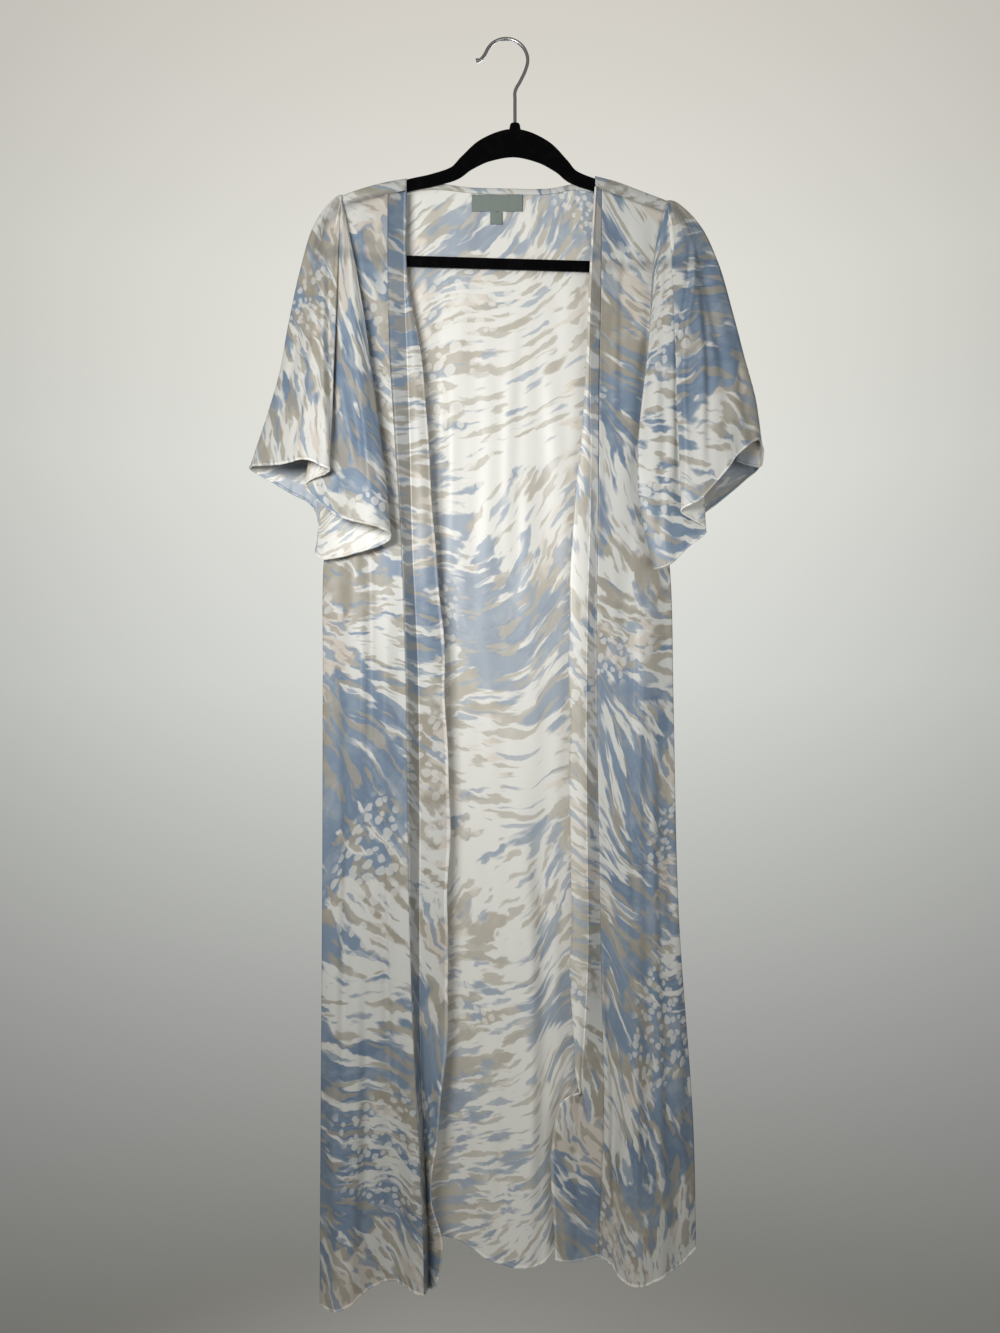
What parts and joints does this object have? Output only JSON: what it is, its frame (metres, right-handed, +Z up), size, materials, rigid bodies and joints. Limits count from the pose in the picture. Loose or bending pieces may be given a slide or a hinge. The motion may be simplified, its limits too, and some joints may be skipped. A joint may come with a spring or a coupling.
{
  "type": "duster coat on a hanger",
  "caption": "Long open-front duster coat in printed satin with flared elbow sleeves and narrow front bands, hanging from the hook of a slim flocked hanger.",
  "frame": {"origin": "underside of the hook's crown, where a peg or rail carries the hanger", "axes": "+Z up, -Y the way the coat's front faces, +X towards the wearer's left"},
  "size_m": [0.5517, 0.0671, 1.3586],
  "materials": {
    "printed_satin": "satin with a brushed print in ivory, dusty blue and taupe",
    "black_flock": "flocked",
    "plated_wire": "polished",
    "woven_label": "woven, bare"
  },
  "bodies": {
    "root": {"back": "printed_satin", "front_right": "printed_satin", "front_left": "printed_satin", "band_right": "printed_satin", "band_left": "printed_satin", "sleeve_right": "printed_satin", "sleeve_left": "printed_satin", "neck_band": "printed_satin", "neck_label": "woven_label", "size_tab": "woven_label", "hanger_body": "black_flock", "hanger_hook": "plated_wire"}
  },
  "joints": []
}
